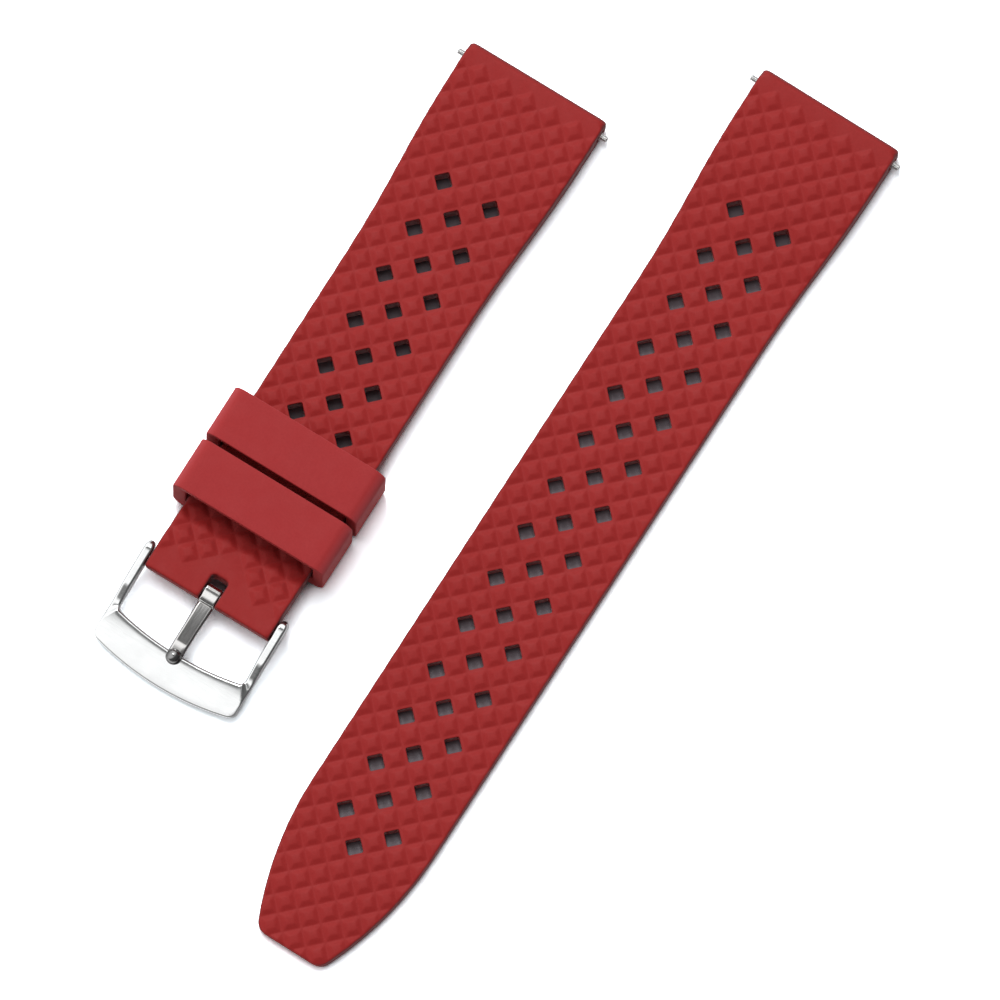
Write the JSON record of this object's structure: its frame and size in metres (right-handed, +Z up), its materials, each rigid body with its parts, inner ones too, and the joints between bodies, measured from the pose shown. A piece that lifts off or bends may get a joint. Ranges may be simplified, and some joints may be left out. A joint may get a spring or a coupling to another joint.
{
  "type": "rubber watch strap",
  "caption": "Two-piece rubber watch strap with a diamond relief and square holes, loose keepers, a steel tang buckle and sprung lug bars.",
  "frame": {"origin": "centre of the whole layout's box, on the surface that it lies on", "axes": "+Y along the halves, from the tail tip to the lug ends; +X across them, from the buckle half to the tail half; +Z up"},
  "size_m": [0.0546, 0.126, 0.0094],
  "materials": {
    "strap_rubber": "moulded satin",
    "keeper_rubber": "matte",
    "buckle_steel": "polished",
    "bar_steel": "turned",
    "spring_steel": "drawn wire"
  },
  "bodies": {
    "buckle_half": {"buckle_side_strap": "strap_rubber"},
    "tail_half": {"tail_side_strap": "strap_rubber"},
    "lower_keeper": {"lower_keeper": "keeper_rubber"},
    "upper_keeper": {"upper_keeper": "keeper_rubber"},
    "buckle": {"buckle_frame": "buckle_steel", "buckle_bar_tube": "bar_steel", "buckle_bar_spring": "spring_steel"},
    "tongue": {"buckle_tongue": "buckle_steel"},
    "buckle_bar_left_tip": {"buckle_bar_left_tip": "bar_steel"},
    "buckle_bar_right_tip": {"buckle_bar_right_tip": "bar_steel"},
    "buckle_lug_bar": {"buckle_lug_bar_tube": "bar_steel", "buckle_lug_bar_spring": "spring_steel"},
    "buckle_lug_bar_left_tip": {"buckle_lug_bar_left_tip": "bar_steel"},
    "buckle_lug_bar_right_tip": {"buckle_lug_bar_right_tip": "bar_steel"},
    "tail_lug_bar": {"tail_lug_bar_tube": "bar_steel", "tail_lug_bar_spring": "spring_steel"},
    "tail_lug_bar_left_tip": {"tail_lug_bar_left_tip": "bar_steel"},
    "tail_lug_bar_right_tip": {"tail_lug_bar_right_tip": "bar_steel"}
  },
  "joints": [
    {"name": "tail_half_lift", "type": "slide", "parent": "buckle_half", "child": "tail_half", "axis": [0, 0, 1], "range_m": [0, 0.03]},
    {"name": "lower_keeper_slide", "type": "slide", "parent": "buckle_half", "child": "lower_keeper", "axis": [-0.0115, 0.9995, -0.0291], "range_m": [-0.0055, 0.0007]},
    {"name": "upper_keeper_slide", "type": "slide", "parent": "buckle_half", "child": "upper_keeper", "axis": [-0.0115, 0.9995, -0.0291], "range_m": [0, 0.028]},
    {"name": "buckle_turn", "type": "hinge", "parent": "buckle_half", "child": "buckle", "pos_m": [-0.01547, -0.03077, 0.00382], "axis": [-0.9999, -0.0115, 0], "range_deg": [-100, 60]},
    {"name": "tongue_turn", "type": "hinge", "parent": "buckle", "child": "tongue", "pos_m": [-0.01547, -0.03077, 0.00382], "axis": [-0.9999, -0.0115, 0], "range_deg": [0, 60]},
    {"name": "buckle_lug_bar_spin", "type": "hinge", "parent": "buckle_half", "child": "buckle_lug_bar", "pos_m": [-0.01634, 0.04466, 0.00193], "axis": [0.9999, 0.0115, 0], "continuous": true},
    {"name": "tail_lug_bar_spin", "type": "hinge", "parent": "tail_half", "child": "tail_lug_bar", "pos_m": [0.01634, 0.0613, 0.0019], "axis": [1, 0, 0], "continuous": true},
    {"name": "buckle_bar_left_tip_slide", "type": "slide", "parent": "buckle", "child": "buckle_bar_left_tip", "axis": [0.9999, 0.0115, 0], "range_m": [0, 0.0008], "stiffness_N_per_m": 600, "springref_m": -0.002, "deforming": ["buckle_bar_spring"]},
    {"name": "buckle_bar_right_tip_slide", "type": "slide", "parent": "buckle", "child": "buckle_bar_right_tip", "axis": [-0.9999, -0.0115, 0], "range_m": [0, 0.0008], "stiffness_N_per_m": 600, "springref_m": -0.002, "deforming": ["buckle_bar_spring"]},
    {"name": "buckle_lug_bar_left_tip_slide", "type": "slide", "parent": "buckle_lug_bar", "child": "buckle_lug_bar_left_tip", "axis": [0.9999, 0.0115, 0], "range_m": [0, 0.001], "stiffness_N_per_m": 600, "springref_m": -0.002, "deforming": ["buckle_lug_bar_spring"]},
    {"name": "buckle_lug_bar_right_tip_slide", "type": "slide", "parent": "buckle_lug_bar", "child": "buckle_lug_bar_right_tip", "axis": [-0.9999, -0.0115, 0], "range_m": [0, 0.001], "stiffness_N_per_m": 600, "springref_m": -0.002, "deforming": ["buckle_lug_bar_spring"]},
    {"name": "tail_lug_bar_left_tip_slide", "type": "slide", "parent": "tail_lug_bar", "child": "tail_lug_bar_left_tip", "axis": [1, 0, 0], "range_m": [0, 0.001], "stiffness_N_per_m": 600, "springref_m": -0.002, "deforming": ["tail_lug_bar_spring"]},
    {"name": "tail_lug_bar_right_tip_slide", "type": "slide", "parent": "tail_lug_bar", "child": "tail_lug_bar_right_tip", "axis": [-1, 0, 0], "range_m": [0, 0.001], "stiffness_N_per_m": 600, "springref_m": -0.002, "deforming": ["tail_lug_bar_spring"]}
  ]
}
